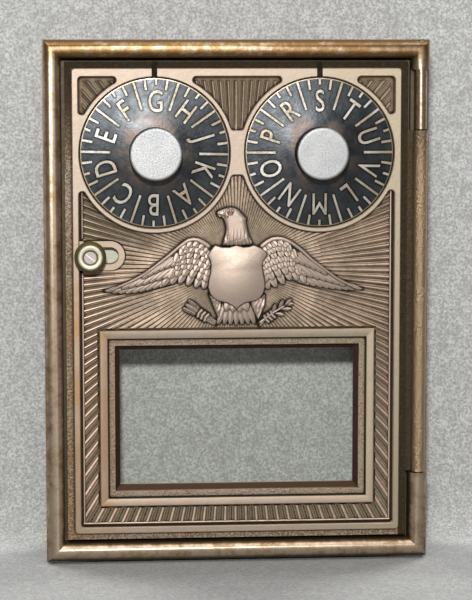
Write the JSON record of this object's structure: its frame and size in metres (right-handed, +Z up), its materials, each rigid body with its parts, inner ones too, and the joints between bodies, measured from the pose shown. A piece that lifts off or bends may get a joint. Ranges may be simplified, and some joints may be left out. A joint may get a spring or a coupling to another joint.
{
  "type": "post office box door",
  "caption": "Brass mailbox door in its wall frame, with a glazed window, lettered combination dials and a sliding latch.",
  "frame": {"origin": "middle of the frame's seat, the flat back of its border, which lies against the front of the cabinet", "axes": "+X right seen from the front, +Y into the cabinet, +Z up; the door faces -Y"},
  "size_m": [0.0888, 0.0295, 0.1206],
  "materials": {
    "cast_brass": "sand-cast, polished on the raised parts and dulled brown-green in the recesses",
    "turned_brass": "turned, dulled",
    "sheet_brass": "rolled sheet, dull",
    "slide_plate": "nickelled plate, grey",
    "dial_black": "blackened brass, worn, with pale raised letters",
    "knob_steel": "dull nickel, with fine scratches",
    "steel": "plain steel",
    "window_glass": "clear float glass, slightly green"
  },
  "bodies": {
    "frame": {"frame_casting": "cast_brass", "hinge_pin": "steel"},
    "door": {"door_casting": "cast_brass", "window_glass": "window_glass", "glass_retainer": "sheet_brass", "glass_retainer_screws": "steel", "lock_case": "sheet_brass", "lock_case_screws": "steel", "slide_guide_screws": "steel", "spring_guide_pin": "sheet_brass", "latch_spring": "steel"},
    "left_dial_set": {"left_dial": "dial_black", "left_dial_knob": "knob_steel", "left_spindle": "turned_brass", "left_spring_washer": "steel", "left_tumbler": "sheet_brass", "left_spindle_nut": "steel"},
    "right_dial_set": {"right_dial": "dial_black", "right_dial_knob": "knob_steel", "right_spindle": "turned_brass", "right_spring_washer": "steel", "right_tumbler": "sheet_brass", "right_spindle_nut": "steel"},
    "latch": {"latch_slide": "slide_plate", "latch_bolt": "sheet_brass", "bolt_rivets": "sheet_brass", "fence_lugs": "steel", "latch_stem": "turned_brass", "latch_knob": "turned_brass"}
  },
  "joints": [
    {"name": "door_hinge", "type": "hinge", "parent": "frame", "child": "door", "pos_m": [0.0424, -0.0027, 0], "axis": [0, 0, 1], "range_deg": [0, 160]},
    {"name": "left_dial_turn", "type": "hinge", "parent": "door", "child": "left_dial_set", "pos_m": [-0.01894, 0, 0.03453], "axis": [0, -1, 0], "continuous": true},
    {"name": "right_dial_turn", "type": "hinge", "parent": "door", "child": "right_dial_set", "pos_m": [0.01894, 0, 0.03453], "axis": [0, -1, 0], "continuous": true},
    {"name": "latch_slide_travel", "type": "slide", "parent": "door", "child": "latch", "axis": [1, 0, 0], "range_m": [0, 0.0046], "stiffness_N_per_m": 200, "springref_m": -0.004, "deforming": ["latch_spring"]}
  ]
}
